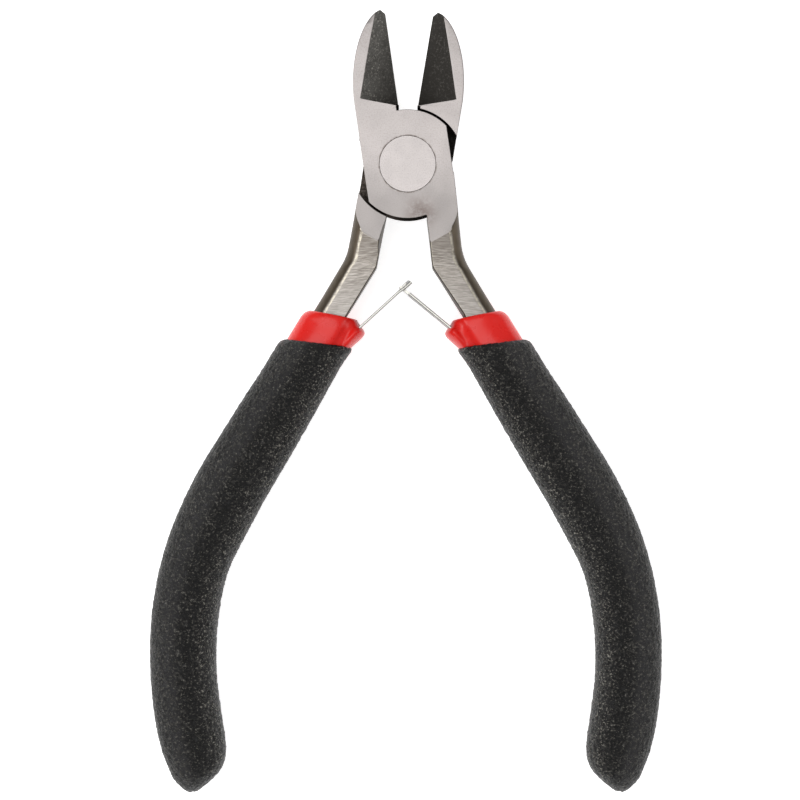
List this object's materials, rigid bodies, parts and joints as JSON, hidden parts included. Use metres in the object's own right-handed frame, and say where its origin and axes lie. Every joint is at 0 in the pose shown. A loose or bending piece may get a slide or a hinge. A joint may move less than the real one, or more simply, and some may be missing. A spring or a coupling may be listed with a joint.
{
  "type": "diagonal cutting pliers",
  "caption": "Small diagonal side cutters with a flush lap joint, interlocked leaf return springs and two-colour dipped handles.",
  "frame": {"origin": "on the pivot axis, at the lower ground face of the joint, with the pliers lying flat and their springs holding them open", "axes": "+Z along the pivot axis, up; +Y from the pivot towards the jaws; +X to the right, with the upper half's jaw on the left"},
  "size_m": [0.0734, 0.1119, 0.009],
  "materials": {
    "forged_steel": "ground and polished at the joint, brushed forged arms",
    "rivet_steel": "ground flush",
    "spring_steel": "bright rolled strip",
    "red_pvc": "glossy dipped vinyl",
    "black_grip": "fine pebbled dipped vinyl"
  },
  "bodies": {
    "lower_half": {"lower_half": "forged_steel", "pivot_rivet": "rivet_steel", "left_spring_foot": "spring_steel", "left_spring_rivet": "rivet_steel", "left_sleeve": "red_pvc", "left_grip": "black_grip"},
    "upper_half": {"upper_half": "forged_steel", "right_spring_foot": "spring_steel", "right_spring_rivet": "rivet_steel", "right_sleeve": "red_pvc", "right_grip": "black_grip"},
    "left_leaf": {"left_spring_leaf": "spring_steel"},
    "right_leaf": {"right_spring_leaf": "spring_steel"}
  },
  "joints": [
    {"name": "jaw_pivot", "type": "hinge", "parent": "lower_half", "child": "upper_half", "pos_m": [0, 0, 0.0035], "axis": [0, 0, 1], "range_deg": [-17.9, 3], "stiffness_Nm_per_rad": 0.8},
    {"name": "left_leaf_flex", "type": "hinge", "parent": "lower_half", "child": "left_leaf", "pos_m": [-0.00629, -0.02274, 0.0035], "axis": [0, 0, 1], "range_deg": [-4, 23]},
    {"name": "right_leaf_flex", "type": "hinge", "parent": "upper_half", "child": "right_leaf", "pos_m": [0.00552, -0.02284, 0.0035], "axis": [0, 0, 1], "range_deg": [-23, 4]}
  ],
  "couplings": [
    {"joint": "left_leaf_flex", "follows": "jaw_pivot", "ratio": -1.25},
    {"joint": "right_leaf_flex", "follows": "jaw_pivot", "ratio": 1.25}
  ]
}
